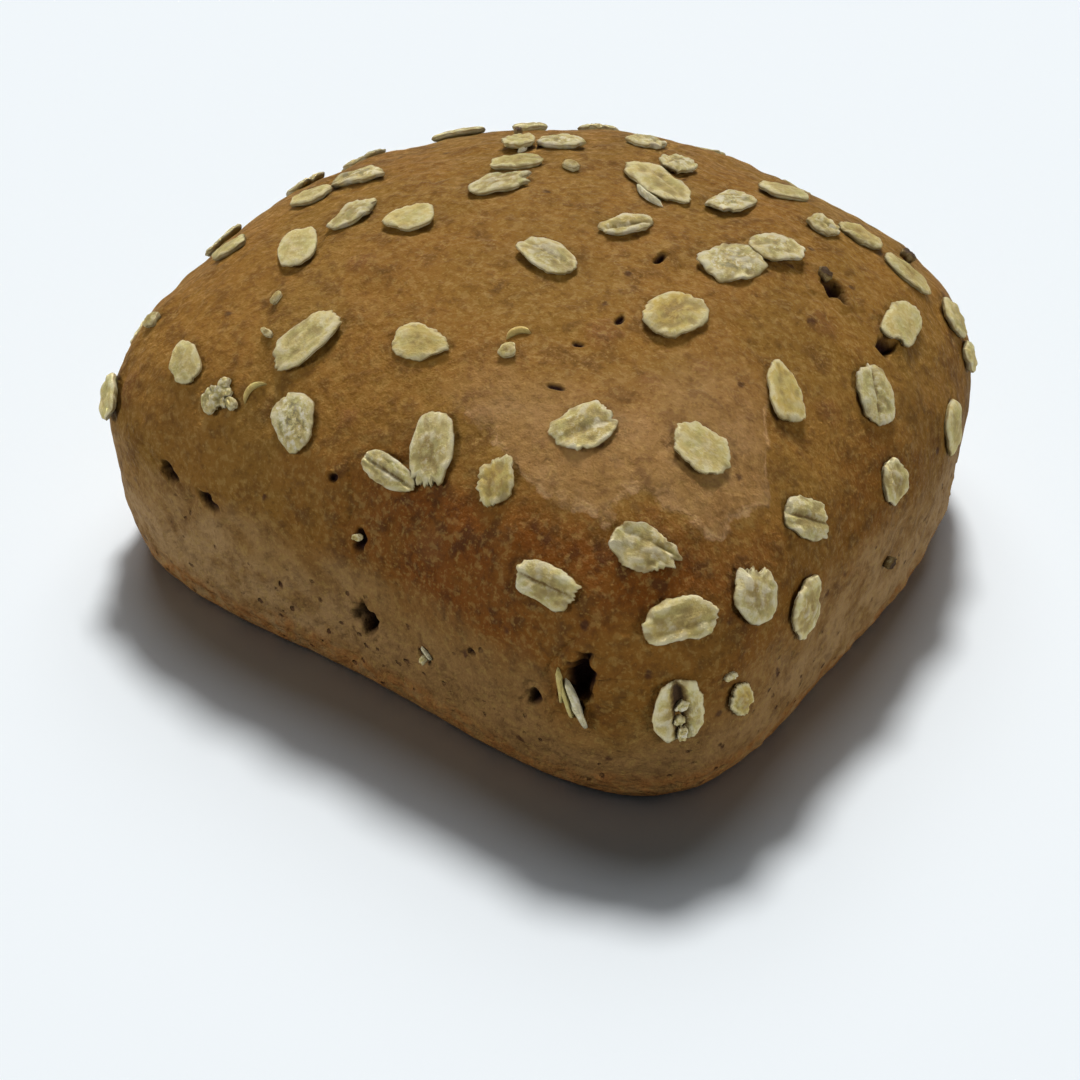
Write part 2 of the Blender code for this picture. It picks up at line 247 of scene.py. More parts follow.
LOOKS = {
    "smooth": {"wrinkle": 0.1, "white": 0.3, "brown": 0.5, "crimp": 0.05},
    "plump": {"egg": -0.16, "white": 1.0, "crown": 0.3, "brown": 0.0, "wrinkle": 0.12},
    "straight": {"power": 2.9, "crease": 0.16, "crease_wide": 0.45, "dark_crease": 0.2, "lift": 0.3,
                 "white": 0.35},
    "tattered": {"torn": 0.5, "wrinkle": 0.2, "uneven": 0.06, "crimp": 0.03, "end_crimp": 0.16,
                 "white": 0.4, "brown": 0.85, "yellow": 0.15},
    "lifted": {"stand": 0.75, "lift": 0.5},
    "frayed": {"power": 2.0, "torn": 0.9, "wrinkle": 0.3, "uneven": 0.3, "crimp": 0.2, "white": 0.7},
    "tan": {"crease": 0.2, "crease_wide": 0.3, "brown": 0.8, "white": 0.1, "yellow": 0.5},
    "mottled": {"wrinkle": 0.22, "uneven": 0.12, "torn": 0.15, "crimp": 0.09, "white": 0.85, "brown": 0.35},
    "notched": {"power": 2.9, "notch": 0.3, "notch_at": 205.0, "wrinkle": 0.1, "lift": 0.35, "yellow": 0.5},
    "nicked": {"notch": 0.2, "notch_at": 215.0, "wrinkle": 0.1, "lift": 0.3, "yellow": 0.5},
    "rimmed": {"crease": 0.35, "crease_at": 0.1, "crease_wide": 0.22, "lift": 0.35, "white": 0.5,
               "brown": 0.5},
    "folded": {"crease": 0.6, "crease_at": -0.15, "crease_wide": 0.2, "torn": 0.25, "wrinkle": 0.18,
               "uneven": 0.1, "crimp": 0.09, "white": 0.5, "brown": 0.5, "yellow": 0.6},
    "ridged": {"crease": 0.4, "crease_at": -0.3, "crease_wide": 0.2, "wrinkle": 0.19, "uneven": 0.12,
               "torn": 0.1, "yellow": 0.5, "brown": 0.6},
    "leaf": {"power": 2.2, "egg": -0.3, "thick": 0.5, "stand": 0.3, "brown": 0.6, "white": 0.1,
             "yellow": 0.7},
    "toasted": {"power": 2.5, "lift": 0.4, "wrinkle": 0.2, "brown": 0.9, "white": 0.12, "yellow": 1.0},
    "over": {"stand": 1.0, "white": 0.7, "wrinkle": 0.16},
    "creased": {"crease": 0.6, "crease_wide": 0.13, "dark_crease": 0.8, "white": 0.6, "brown": 0.1},
    "yellow": {"egg": -0.12, "lift": 0.35, "yellow": 1.0, "brown": 0.5, "white": 0.1},
    "plain": {"power": 2.4, "crimp": 0.08, "lift": 0.4, "lift_side": -1.0, "brown": 0.4,
              "yellow": 0.45},
    "eyed": {"egg": -0.12, "crease": 0.3, "crease_wide": 0.45, "dark_crease": 0.4, "wrinkle": 0.16,
             "brown": 0.9, "white": 0.3},
    "tailed": {"egg": -0.34, "power": 2.5, "wrinkle": 0.22, "brown": 0.9, "white": 0.3, "yellow": 0.4},
    "broken": {"power": 3.0, "torn": 0.15, "end_crimp": 0.08, "crease": 0.45, "crease_wide": 0.12,
               "dark_crease": 0.9, "white": 0.4, "brown": 0.5},
    "scrap": {"power": 2.1, "uneven": 0.08, "wrinkle": 0.24, "crimp": 0.14, "yellow": 1.0,
              "brown": 0.9, "white": 0.1},
    "curled": {"roll": 0.9, "torn": 0.4, "uneven": 0.14, "wrinkle": 0.34, "lift": 0.4, "crimp": 0.1,
               "crease": 0.5, "crease_at": 0.3, "white": 0.4, "brown": 0.6},
    "bean": {"crease": 1.0, "crease_wide": 0.28, "dark_crease": 1.8, "crown": 0.4, "white": 0.35,
             "brown": 0.8},
}
FLAKE_CELLS = 24
FLAKE_SEED = 3
# Straight breaks round a flake: how many, their distance from its middle as a share of an oval, and how
# much of the outline still stands out past them
FLAKE_CUTS = 3
CUT_DISTANCES = (0.84, 0.98)
CUT_SOFTNESS = 0.35
# Where a flake's far end begins and is complete, in shares of its half length
FAR_END = (0.1, 0.9)
CRIMP_WAVES = (3.1, 7.3)
TORN_LEAST = 0.15
NOTCH_HALF_WIDTH = 26.0
# How deep the middle of a flake's underside is sunk, in mm
FLAKE_SUNK = 0.55
# Rises between which the flakes turn from pale to darker: partly lightly toasted, and partly painted shade
# on the flakes high on the dome, where the lights fall strongest
TOAST_AND_SHADE_RISES = (0.0, 26.0)

# How the looks of small bits of bran and oat differ from a plain flake's
BIT_LOOKS = {
    "pale": {"white": 0.6, "brown": 0.2, "uneven": 0.2, "torn": 0.3},
    "bran": {"white": 0.2, "brown": 0.9, "uneven": 0.2},
    "crumb": {"white": 1.0, "brown": 0.0, "uneven": 0.3, "torn": 0.3, "thick": 0.8, "stand": 0.62},
    "dark": {"white": 0.0, "brown": 1.0, "uneven": 0.15, "thick": 1.0, "crease": 0.34, "crease_wide": 4.0,
             "dark_crease": 1.8, "stand": 0.7},
}
# The bits: bearing, rise, turn, length and width in mm, look
SHOWN_BITS = (
    (240.0, 24.0, -53.0, 3.2, 2.4, "pale"), (243.0, 26.0, -31.0, 2.0, 1.2, "pale"),
    (240.0, 29.0, 19.0, 1.6, 1.6, "pale"), (231.0, 47.0, -66.0, 2.0, 0.9, "bran"),
    (238.0, 41.5, -3.0, 2.0, 1.0, "bran"), (218.0, 25.0, -28.0, 2.3, 2.0, "bran"),
    (112.5, 77.5, -40.0, 2.5, 1.5, "bran"), (41.0, 31.0, 20.0, 2.2, 1.7, "dark"),
    (289.0, 57.0, 73.0, 2.3, 1.8, "bran"), (270.5, 9.6, 10.0, 1.2, 0.8, "bran"),
    (282.3, -8.0, 70.0, 1.6, 0.8, "pale"), (18.2, 50.2, 60.0, 2.0, 1.4, "dark"),
    (314.6, -1.0, 60.0, 1.6, 1.0, "crumb"), (314.5, -3.2, 20.0, 1.3, 0.9, "crumb"),
    (314.9, -5.4, 80.0, 1.9, 1.0, "crumb"), (131.5, 54.5, 80.0, 1.6, 1.2, "dark"),
    (355.4, -4.4, 20.0, 1.8, 1.2, "dark"), (320.5, 1.2, 0.0, 1.7, 0.8, "pale"),
)
BIT_CELLS = 10
# The bits and husks are numbered on from here, so that no two pieces draw the same noise
FIRST_BIT = 200
FIRST_HUSK = 400
# Thin husks that stand on edge: bearing, rise, turn, length, width and bow in mm, tone
HUSKS = (
    (245.0, 30.0, 64.0, 3.6, 0.6, 0.8, "bran"), (290.5, 60.5, 39.0, 2.9, 0.7, 0.5, "bran"),
    (282.5, -7.0, -40.0, 2.0, 0.5, 0.2, "pale"), (303.4, -2.6, -66.0, 6.4, 1.1, 0.3, "pale"),
    (302.4, -2.0, -70.0, 5.6, 1.2, 0.2, "green"), (303.8, -4.0, -60.0, 4.2, 1.0, 0.2, "pale"),
    (301.6, -0.8, -80.0, 4.4, 1.2, 0.3, "green"), (135.0, 66.0, 60.0, 2.6, 0.7, 0.5, "pale"),
    (51.0, 75.5, 8.0, 5.8, 1.0, 0.5, "pale"),
)
# Shares of brown, white and yellow
HUSK_TONES = {"bran": (0.9, 0.0, 0.4), "pale": (0.1, 0.9, 0.1), "green": (0.35, 0.1, 0.5)}
HUSK_STEPS = 12
HUSK_THICKNESS = 0.2
HUSK_LEAN = 0.25
# Corners of a husk's section: side, and height as a share of its width
HUSK_SECTION = ((-1, -0.3), (1, -0.3), (1, 1), (-1, 1))

# Colours, as linear red, green and blue
STRAW = (0.405, 0.343, 0.152)
STRAW_YELLOW = (0.350, 0.255, 0.055)
STRAW_GREEN = (0.338, 0.312, 0.122)
# The darker tone of flakes high on the dome: partly toast, partly painted shade
TOAST_AND_SHADE = (0.030, 0.016, 0.002)
TOAST_AND_SHADE_SHARE = 0.27
OAT_BROWN = (0.175, 0.105, 0.024)
OAT_GREY = (0.145, 0.125, 0.066)
OAT_WHITE = (0.47, 0.445, 0.35)
OAT_DARK = (0.032, 0.017, 0.008)
DOME = (0.129, 0.062, 0.0105)
DOME_OLIVE = (0.120, 0.062, 0.0105)
DOME_DEEP = (0.078, 0.036, 0.0068)
BAND = (0.095, 0.029, 0.0028)
BAND_DEEP = (0.052, 0.016, 0.002)
WALL = (0.190, 0.117, 0.050)
WALL_DEEP = (0.125, 0.067, 0.022)
WALL_FRONT = (0.142, 0.077, 0.026)
FOOT = (0.165, 0.071, 0.019)
SKIN = (0.180, 0.105, 0.042)
SKIN_LINE = (0.250, 0.155, 0.072)
BLISTER = (0.092, 0.038, 0.011)
BRAN = (0.030, 0.011, 0.005)
# Painted shade inside the holes
PAINTED_HOLE_SHADE = (0.012, 0.004, 0.003)
SPECK = (0.205, 0.130, 0.036)
# Shares of non-metal gloss
CRUST_SPECULAR = 0.06
OAT_SPECULAR = 0.12

# Floor, sky, lights and camera, in metres
FLOOR_HALF = 3.0
FLOOR_COLOUR = (0.87, 0.92, 0.97)
BACKDROP_COLOUR = (0.888, 0.930, 0.956)
SKY_COLOUR = (0.80, 0.92, 1.0)
SKY_STRENGTH = 0.044
LIT_POINT = Vector((0, 0, 20 * MM))
# Far lights behind the roll, which light the floor evenly: name, bearing, rise, size, power and colour
FAR_DISTANCE = 30.0
FAR_LIGHTS = (
    ("key", 119.0, 56.0, 6.0, 7490.0, (1.0, 0.99, 0.96)),
    ("window", 120.0, 54.0, 26.4, 3640.0, (1.0, 1.0, 1.0)),
)
# Soft near lights that fall on the roll alone, so that its shadow stays deep: name, bearing, rise, size
# and power
NEAR_DISTANCE = 1.2
FILLS = (("fill_left", 230.0, 20.0, 0.35, 12.0), ("fill_right", 350.0, 22.0, 0.5, 10.2))
FILL_COLOUR = (1.0, 0.99, 0.97)
CAMERA_EYE = Vector((157.1, -257.6, 215.8)) * MM
CAMERA_AIM = Vector((15.38, -28.30, 20.0)) * MM
CAMERA_LENS = 96.1
SENSOR_WIDTH = 36.0
CAMERA_NEAREST = 0.01


# Shape of the crust

def crust_point(bearing, rise):
    """The smooth crust's point at a bearing and a rise, both in degrees."""
    around = math.radians(bearing)
    if rise >= 0:
        climb = math.sin(math.radians(rise)) ** (2 / DOME_POWER)
        share = max(math.cos(math.radians(rise)), 0.0) ** (2 / DOME_POWER)
        height = WAIST_HEIGHT + (HEIGHT - WAIST_HEIGHT) * climb
    else:
        climb = 0.0
        quarter = min(rise / FOOT_RISE, 1.0) * math.pi / 2
        share = FOOT_SHARE + (1 - FOOT_SHARE) * max(math.cos(quarter), 0.0) ** (2 / UNDERSIDE_POWER)
        height = WAIST_HEIGHT * (1 - math.sin(quarter) ** (2 / UNDERSIDE_POWER))
        if rise < FOOT_RISE:
            share *= (90 + rise) / (90 + FOOT_RISE)
    power = 2 + (CORNER_POWER - 2) * (1 - climb ** CORNER_HOLD) ** CORNER_FADE
    along, across = math.cos(around), math.sin(around)
    waves = 0.0
    for count, amount, phase in OUTLINE_WAVES:
        waves += amount * math.cos(count * around - math.radians(phase))
    radius = (abs(along) ** power + abs(across) ** power) ** (-1 / power) * (1 + waves)
    x = HALF_LENGTH * share * radius * along
    y = HALF_WIDTH * share * radius * across
    x, y = x * (1 + SIDE_TAPER_X * y / HALF_WIDTH), y * (1 + SIDE_TAPER_Y * x / HALF_LENGTH)
    return Vector((x + TOP_SHIFT * climb ** 2, y, height))


def base_fade(point):
    """1 on the crust and 0 on the base, so that the roll still stands flat."""
    return min(max(point.z / LUMP_FADE_HEIGHT, 0.0), 1.0)


def lumps(point, sizes):
    return base_fade(point) * sum(high * noise.noise(point / wide) for wide, high in sizes)


def wrinkle_depth(point):
    """Depth of the faint creases that wander over the crust."""
    bent = point / WRINKLE_SPACING + WRINKLE_START
    close = point / (0.4 * WRINKLE_SPACING)
    bent += WRINKLE_BEND * Vector([noise.noise(close + start) for start in WRINKLE_BEND_FROM])
    strength = smooth_step(*WRINKLE_PATCHES, noise.noise(point / (2.2 * WRINKLE_SPACING)))
    return WRINKLE_DEPTH * strength * math.exp(-(noise.noise(bent) / WRINKLE_WIDTH) ** 2)


def smooth_step(low, high, value):
    share = min(max((value - low) / (high - low), 0.0), 1.0)
    return share * share * (3 - 2 * share)


def turned_from(bearing, middle):
    """Degrees round the roll from a middle bearing, from -180 to 180."""
    return (bearing - middle + 180) % 360 - 180


def tangent_frame(tree, bearing, rise):
    """The crust's point at a place, with its level direction, its uphill direction and its normal."""
    point, normal, _, _ = tree.find_nearest(crust_point(bearing, rise))
    step = 0.5
    level = crust_point(bearing + step, rise) - crust_point(bearing - step, rise)
    level = (level - normal * level.dot(normal)).normalized()
    return point, level, normal.cross(level), normal


def turned_frame(tree, bearing, rise, turn):
    """The crust's point at a place, with the directions along and across a thing that lies turned there."""
    centre, level, uphill, normal = tangent_frame(tree, bearing, rise)
    angle = math.radians(turn)
    lengthwise = level * math.cos(angle) + uphill * math.sin(angle)
    return centre, lengthwise, normal.cross(lengthwise)


def cube_of_crust(cells):
    """A cube cut into cells and drawn out to the smooth crust, with each vertex's bearing and rise."""
    shape = bmesh.new()
    bmesh.ops.create_cube(shape, size=2.0)
    bmesh.ops.subdivide_edges(shape, edges=shape.edges[:], cuts=cells - 1, use_grid_fill=True)
    bearing_layer = shape.verts.layers.float.new("bearing")
    rise_layer = shape.verts.layers.float.new("rise")
    for vertex in shape.verts:
        direction = Vector([math.tan(part * math.pi / 4) for part in vertex.co]).normalized()
        bearing = math.degrees(math.atan2(direction.y, direction.x)) % 360
        rise = math.degrees(math.asin(max(-1.0, min(1.0, direction.z))))
        vertex.co = crust_point(bearing, rise)
        vertex[bearing_layer] = bearing
        vertex[rise_layer] = rise
    return shape


def crust_tree():
    """The crust with its lumps alone, which the flakes lie on."""
    shape = cube_of_crust(TREE_CELLS_PER_SIDE)
    shape.normal_update()
    lifts = [vertex.normal * lumps(vertex.co, CRUST_LUMPS) for vertex in shape.verts]
    for vertex, lift in zip(shape.verts, lifts):
        vertex.co += lift
    tree = BVHTree.FromBMesh(shape)
    shape.free()
    return tree


def all_holes(tree):
    """The shown holes and a few small ones on the wall of the side turned away, as frames and sizes."""
    draw = random.Random(FAR_HOLE_SEED)
    places = list(HOLES)
    for _ in range(FAR_HOLE_COUNT):
        length = draw.uniform(*FAR_HOLE_LENGTHS)
        bearing = draw.uniform(*FAR_HOLE_BEARINGS)
        rise = draw.uniform(*FAR_HOLE_RISES)
        turn = draw.uniform(-90, 90)
        width = length * draw.uniform(*FAR_HOLE_NARROWNESS)
        places.append((bearing, rise, turn, length, width, length * FAR_HOLE_DEPTH))
    holes = []
    for bearing, rise, turn, length, width, depth in places:
        centre, along, across = turned_frame(tree, bearing, rise, turn)
        holes.append((centre, along, across, length / 2 * MM, width / 2 * MM, depth * MM))
    return holes


def hole_depth(point, hole):
    """How deep a hole sinks a point, and its painted shade there; its rim stands up a little."""
    centre, along, across, half_length, half_width, depth = hole
    away = point - centre
    ragged = 1 + HOLE_RAGGED * noise.noise(point / HOLE_GRAIN)
    share = math.hypot(away.dot(along) / half_length, away.dot(across) / half_width) * ragged
    bowl = 1 - smooth_step(*HOLE_WALL, share)
    lip = math.exp(-((share - HOLE_LIP_AT) / HOLE_LIP_WIDTH) ** 2)
    return depth * bowl - HOLE_LIP_HEIGHT * lip, 1 - smooth_step(*HOLE_SHADE, share)


def blister_share(point, centre, width):
    """1 in the middle of a blister and 0 outside it, with a ragged edge."""
    ragged = 1 + BLISTER_RAGGED * noise.noise(point / BLISTER_GRAIN)
    return 1 - smooth_step(*BLISTER_EDGE, (point - centre).length / (width / 2 * MM) * ragged)


def refine_near_holes(shape, holes):
    """Cuts the crust's cells finer round each hole."""
    for times in REFINED_TIMES:
        near = set()
        for centre, _, _, half_length, _, _ in holes:
            reach = half_length * times + REFINED_MARGIN
            for vertex in shape.verts:
                if (vertex.co - centre).length_squared < reach * reach:
                    near.update(vertex.link_edges)
        shape.edges.index_update()
        edges = sorted(near, key=lambda edge: edge.index)
        bmesh.ops.subdivide_edges(shape, edges=edges, cuts=1, use_grid_fill=True)


def zones(bearing, rise, point):
    """Shares of the crust's zones at a place: dark band, pale wall, toasted foot and the roll's front."""
    wander = sum(reach * noise.noise(point / wide) for wide, reach in ZONE_WANDERS)
    corner = math.exp(-(turned_from(bearing, CORNER_BEARING) / CORNER_HALF_WIDTH) ** 2)
    front = math.exp(-(turned_from(bearing, FRONT_BEARING) / FRONT_HALF_WIDTH) ** 4)
    height = rise + wander
    wall_top = WALL_TOP - CORNER_DROP * corner
    wall = 1 - smooth_step(wall_top - WALL_SOFTNESS, wall_top + WALL_SOFTNESS, height)
    band_top = BAND_TOP + FRONT_BAND_RISE * front
    band = (1 - wall) * (1 - smooth_step(band_top - BAND_SOFTNESS, band_top + BAND_SOFTNESS, height))
    # Partly painted shade: the band is weak on the sides and strong at the front and right, which face away
    # from the key light
    right = RIGHT_BAND * math.exp(-(turned_from(bearing, RIGHT_BEARING) / RIGHT_HALF_WIDTH) ** 2)
    band *= max(SIDE_BAND + (1 - SIDE_BAND) * front, right)
    band *= 1 - CORNER_PALING * corner * (1 - smooth_step(*CORNER_PALE_RISES, height))
    foot = 1 - smooth_step(*FOOT_BAND_RISES, rise + FOOT_WANDER * wander)
    return {"band": band, "wall": wall, "foot": foot, "front": front}


def over_skin_edge(bearing, rise, point):
    """Degrees of rise above the smooth skin's lower edge, at most SKIN_EDGE_REACH either way."""
    edge = SKIN_EDGE[0][1]
    for (one, low), (two, high) in zip(SKIN_EDGE, SKIN_EDGE[1:]):
        if one <= bearing <= two:
            edge = low + (high - low) * (bearing - one) / (two - one)
    edge += SKIN_EDGE_WANDER * noise.noise(point / SKIN_EDGE_GRAIN)
    return min(max(rise - edge, -SKIN_EDGE_REACH), SKIN_EDGE_REACH)


def build_crust(tree):
    """The crust with its relief and, in each vertex, its shares of the zones of colour."""
    shape = cube_of_crust(CELLS_PER_SIDE)
    holes = all_holes(tree)
    refine_near_holes(shape, holes)
    shape.normal_update()
    layers = shape.verts.layers.float
    blisters = [(tangent_frame(tree, bearing, rise)[0], width) for bearing, rise, width in BLISTERS]
    for name in ("band", "wall", "foot", "front", "skin_up", "skin_in", "hole", "blister"):
        layers.new(name)
    bearing_layer, rise_layer = layers["bearing"], layers["rise"]
    moves = []
    for vertex in shape.verts:
        point = vertex.co.copy()
        bearing, rise = vertex[bearing_layer], vertex[rise_layer]
        shares = zones(bearing, rise, point)
        shares["skin_up"] = over_skin_edge(bearing, rise, point)
        aside = abs(turned_from(bearing, SKIN_BEARING))
        shares["skin_in"] = (1 - smooth_step(*SKIN_FADE, rise)) * (1 - smooth_step(*SKIN_SIDE_FADE, aside))
        shares["blister"] = max(blister_share(point, centre, width) for centre, width in blisters)
        lift = lumps(point, CRUST_LUMPS) + lumps(point, FINE_LUMPS)
        lift += SKIN_STEP * smooth_step(-1.0, 1.0, shares["skin_up"]) * shares["skin_in"]
        lift += shares["foot"] * lumps(point, (FOOT_CRUMBS,)) + BLISTER_HEIGHT * shares["blister"]
        lift -= base_fade(point) * wrinkle_depth(point)
        # dark: how much painted shade the holes give here, the most of any hole
        dark = 0.0
        times, margin = HOLE_REACH
        for hole in holes:
            centre, half_length = hole[0], hole[3]
            if (point - centre).length < times * half_length + margin:
                sink, shade = hole_depth(point, hole)
                lift -= sink * base_fade(point)
                dark = max(dark, shade)
        shares["hole"] = dark
        for name, share in shares.items():
            vertex[layers[name]] = share
        moves.append(vertex.normal * lift)
    for vertex, move in zip(shape.verts, moves):
        vertex.co += move
    layers.remove(layers["bearing"])
    layers.remove(layers["rise"])
    return add_piece("crust", shape, crust_material())


# Flakes, bits and husks

def hidden_flakes(draw):
    """Places and sizes for the side turned away, each drawn clear of every flake so far."""
    taken = [crust_point(bearing, rise) for bearing, rise, *_ in SHOWN_FLAKES]
    chosen = []
    for _ in range(HIDDEN_TRIES):
        bearing = draw.uniform(*HIDDEN_BEARINGS)
        top = HIDDEN_HORIZON * math.sin(math.radians(bearing - HIDDEN_START))
        rise = draw.uniform(HIDDEN_LOWEST, HIDDEN_HORIZON)
        spot = crust_point(bearing, rise)
        if rise < top and all((spot - other).length > HIDDEN_GAP for other in taken):
            taken.append(spot)
            length = draw.uniform(*HIDDEN_LENGTHS)
            turn = draw.uniform(-90, 90)
            width = length * draw.uniform(*HIDDEN_NARROWNESS)
            look = HIDDEN_LOOKS[len(chosen) % len(HIDDEN_LOOKS)]
            chosen.append((bearing, rise, turn, length, width, look))
        if len(chosen) == HIDDEN_FLAKES:
            break
    return chosen


def disc_cells(cells):
    """Points of a square grid drawn out to a disc, as rows of (x, y)."""
    rows = []
    for row in range(cells + 1):
        b = 2 * row / cells - 1
        rows.append([])
        for column in range(cells + 1):
            a = 2 * column / cells - 1
            rows[-1].append((a * math.sqrt(1 - b * b / 2), b * math.sqrt(1 - a * a / 2)))
    return rows


def flake_cuts(number):
    """The straight breaks round one flake: direction, and distance from its middle."""
    draw = random.Random(FLAKE_SEED + number)
    return [(draw.uniform(0, 2 * math.pi), draw.uniform(*CUT_DISTANCES)) for _ in range(FLAKE_CUTS)]


def flake_noise(x, y, number, along, across, apart):
    """Noise over one flake: how fast it changes along and across it, and from one flake to the next."""
    return noise.noise(Vector((x * along, y * across, number * apart)))


def flake_reach(look, x, y, number, cuts):
    """How far the outline reaches in the direction of a point of the disc, as a share of an oval."""
    radius = math.hypot(x, y)
    if radius < 1e-6:
        return 1.0
    along, across = x / radius, y / radius
    squareness = (abs(along) ** look["power"] + abs(across) ** look["power"]) ** (-1 / look["power"])
    spot = Vector((along * 1.3, across * 1.3, number * 7.3))
    outline = 1 + look["uneven"] * noise.noise(spot) * 2
    far_end = smooth_step(*FAR_END, along)
    crimp = look["crimp"] + look["end_crimp"] * far_end
    outline += crimp * sum(noise.noise(spot * waves) for waves in CRIMP_WAVES)
    tears = 0.6 * flake_noise(along, across, number, 2.0, 2.3, 3.1)
    tears += 0.5 * abs(flake_noise(along, across, number, 5.0, 5.0, 4.7))
    outline -= look["torn"] * far_end * max(tears + TORN_LEAST, 0.0)
    bite = turned_from(math.degrees(math.atan2(across, along)), look["notch_at"]) / NOTCH_HALF_WIDTH
    outline -= look["notch"] * math.exp(-bite * bite)
    for direction, distance in cuts:
        facing = math.cos(math.atan2(across, along) - direction)
        if facing > 0.5:
            limit = distance / facing / squareness ** 0.5
            outline = min(outline, limit + CUT_SOFTNESS * (outline - limit))
    return 1 + (squareness * outline - 1) * smooth_step(0.0, 1.0, radius)


def flake_height(look, x, y, number):
    """Height of a flake's middle over the crust, half its thickness and its crease's depth, all in mm, with
    the share of crease and the height of the wrinkles there."""
    radius = min(math.hypot(x, y), 1.0)
    crease = math.exp(-((y - look["crease_at"]) / look["crease_wide"]) ** 2) * (1 - 0.6 * radius ** 4)
    side = 0.5 * (1 + math.copysign(min(abs(y), 1.0), y) * math.copysign(1, look["lift_side"]))
    height = look["stand"] + look["crown"] * (1 - radius * radius)
    height += look["lift"] * radius ** 3 * (0.3 + abs(look["lift_side"]) * side)
    broad = flake_noise(x, y, number, 1.9, 1.8, 5.7)
    narrow = flake_noise(x, y, number, 4.2, 3.8, 2.9)
    height += look["wrinkle"] * (1.6 * broad + 0.8 * narrow)
    height += 0.25 * radius ** 4 * flake_noise(x, y, number, 2.2, 2.2, 8.3)
    # The relief also sets the painted shade in the wrinkles' hollows and the painted highlight on their
    # ridges
    relief = (0.7 * broad + narrow) * min(look["wrinkle"] * 6, 1.0)
    height += look["roll"] * smooth_step(-0.45, -1.0, x)
    half = look["thick"] / 2 * math.sqrt(max(1 - radius ** 10, 0.0))
    return height, half, look["crease"] * crease, crease, relief


def add_flake(shape, layers, tree, number, place, look, cells):
    """One flake as two faces, upper and under, that follow the crust and meet at the rim."""
    bearing, rise, turn, length, width = place
    centre, lengthwise, widthwise = turned_frame(tree, bearing, rise, turn)
    cuts = flake_cuts(number)
    toast_and_shade = smooth_step(*TOAST_AND_SHADE_RISES, rise)
    upper, under = [], []
    for row in disc_cells(cells):
        upper.append([])
        under.append([])
        for x, y in row:
            reach = flake_reach(look, x, y, number, cuts)
            along = length / 2 * x * reach
            across = width / 2 * y * reach * (1 + look["egg"] * x)
            height, half, dip, crease, relief = flake_height(look, x, y, number)
            spot, facing, _, _ = tree.find_nearest(centre + (lengthwise * along + widthwise * across) * MM)
            radius = math.hypot(x, y)
            top = shape.verts.new(spot + facing * (height + half - dip) * MM)
            sunk = height - half - FLAKE_SUNK * (1 - radius ** 3) - dip * 0.4
            bottom = top if radius > 0.9999 else shape.verts.new(spot + facing * sunk * MM)
            for vertex in (top, bottom):
                vertex[layers["flake_place"]] = Vector((along, across, number * 11.0))
                vertex[layers["rim"]] = radius
                # Painted shade in the crease; a dark bit's crease spans it and gives it its own dark colour
                vertex[layers["dark"]] = crease * look["dark_crease"] * min(look["crease"] * 3, 1.0)
                vertex[layers["relief"]] = relief
                vertex[layers["tone"]] = Vector((look["brown"], look["white"], look["yellow"]))
                vertex[layers["toast_and_shade"]] = toast_and_shade
            upper[-1].append(top)
            under[-1].append(bottom)
    for row in range(cells):
        for column in range(cells):
            quad = [(row, column), (row, column + 1), (row + 1, column + 1), (row + 1, column)]
            shape.faces.new([upper[a][b] for a, b in quad])
            shape.faces.new([under[a][b] for a, b in reversed(quad)])


def flake_layers(shape):
    """The values that each vertex of a flake carries to its material."""
    kinds = shape.verts.layers
    layers = {name: kinds.float_vector.new(name) for name in ("flake_place", "tone")}
    return layers | {name: kinds.float.new(name) for name in ("rim", "dark", "relief", "toast_and_shade")}


def build_flakes(tree, material):
    shape = bmesh.new()
    layers = flake_layers(shape)
    draw = random.Random(HIDDEN_SEED)
    for number, place in enumerate(SHOWN_FLAKES + tuple(hidden_flakes(draw))):
        look = FLAKE | LOOKS[place[-1]]
        add_flake(shape, layers, tree, number, place[:-1], look, FLAKE_CELLS)
    return add_piece("oat_flakes", shape, material)


def build_bits(tree, material):
    shape = bmesh.new()
    layers = flake_layers(shape)
    for number, place in enumerate(SHOWN_BITS):
        look = FLAKE | BIT_LOOKS[place[-1]]
        add_flake(shape, layers, tree, number + FIRST_BIT, place[:-1], look, BIT_CELLS)
    return add_piece("bran_bits", shape, material)


def build_husks(tree, material):
    """Curved strips of husk that stand on edge in the crust."""
    shape = bmesh.new()
    layers = flake_layers(shape)
    for number, (bearing, rise, turn, length, width, bow, tone) in enumerate(HUSKS):
        centre, lengthwise, widthwise = turned_frame(tree, bearing, rise, turn)
        rings = []
        for step in range(HUSK_STEPS + 1):
            x = 2 * step / HUSK_STEPS - 1
            taper = math.sqrt(max(1 - abs(x) ** 3, 0.0)) * 0.9 + 0.1
            along, aside = length / 2 * x, bow * (1 - x * x)
            spot, facing, _, _ = tree.find_nearest(centre + (lengthwise * along + widthwise * aside) * MM)
            ring = []
            for side, up in HUSK_SECTION:
                lean = widthwise * (side * HUSK_THICKNESS * taper + HUSK_LEAN * width * up * taper)
                vertex = shape.verts.new(spot + (lean + facing * (width * up * taper)) * MM)
                vertex[layers["flake_place"]] = Vector((along, up, number * 11.0 + FIRST_HUSK))
                vertex[layers["rim"]] = 0.5
                vertex[layers["tone"]] = Vector(HUSK_TONES[tone])
                # Painted highlight: the paler husks take the whitening of a raised ridge
                vertex[layers["relief"]] = 0.5 * HUSK_TONES[tone][1]
                ring.append(vertex)
            rings.append(ring)
        for one, two in zip(rings, rings[1:]):
            for side in range(len(HUSK_SECTION)):
                after = (side + 1) % len(HUSK_SECTION)
                shape.faces.new((one[side], two[side], two[after], one[after]))
        shape.faces.new(rings[0])
        shape.faces.new(reversed(rings[-1]))
    return add_piece("husks", shape, material)


